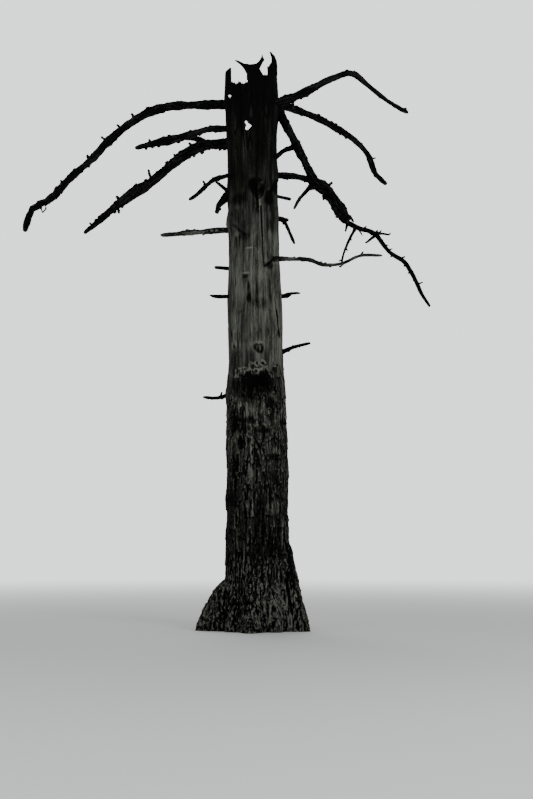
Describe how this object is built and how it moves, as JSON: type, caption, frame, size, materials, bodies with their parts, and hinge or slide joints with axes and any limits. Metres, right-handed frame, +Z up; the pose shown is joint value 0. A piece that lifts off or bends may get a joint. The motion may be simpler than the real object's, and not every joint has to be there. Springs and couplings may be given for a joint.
{
  "type": "dead tree",
  "caption": "Tall dead conifer trunk with a hollow, splintered top, flared foot, long drooping bare boughs near the top and short broken pegs below.",
  "frame": {"origin": "middle of the flat cut under the trunk, at ground level", "axes": "+Z up the trunk, -Y towards the front that the picture shows, +X to its right"},
  "size_m": [7.3211, 4.2896, 10.365],
  "materials": {
    "trunk_wood": "weathered barkless grey wood with long grain, dark bark plates low down, matt",
    "dark_bark": "rough near-black dead bark, matt",
    "grey_wood": "weathered grey dead wood with long grain, matt",
    "twigs": "rough dark dead twigs, matt"
  },
  "bodies": {
    "root": {"trunk": "trunk_wood", "bough_back_second": "dark_bark", "bough_back_top_root": "dark_bark", "bough_back_top_tip": "dark_bark", "bough_left_main_root": "dark_bark", "bough_left_main_tip": "dark_bark", "bough_left_second": "dark_bark", "bough_left_top_middle": "dark_bark", "bough_left_top_root": "dark_bark", "bough_left_top_tip": "dark_bark", "bough_right_drooping_root": "dark_bark", "bough_right_drooping_tip": "dark_bark", "bough_right_level": "dark_bark", "bough_right_second_root": "dark_bark", "bough_right_second_tip": "dark_bark", "bough_right_top_root": "dark_bark", "bough_right_top_tip": "dark_bark", "branch_back_grey": "grey_wood", "branch_left_grey": "grey_wood", "branch_left_thin": "dark_bark", "branch_right_grey": "grey_wood", "branch_right_hanging": "dark_bark", "branch_right_inner": "dark_bark", "fork_left_main": "dark_bark", "peg_back_lower": "dark_bark", "peg_back_middle": "dark_bark", "peg_back_upper": "dark_bark", "peg_left_lower": "dark_bark", "peg_left_middle": "dark_bark", "peg_left_upper": "dark_bark", "peg_right_blunt": "dark_bark", "peg_right_lower": "dark_bark", "peg_right_middle": "dark_bark", "peg_right_upper": "dark_bark", "spray_right": "twigs", "stub_left_drooping": "dark_bark", "stub_right_upper": "dark_bark", "twig_left_upturned": "dark_bark"}
  },
  "joints": []
}
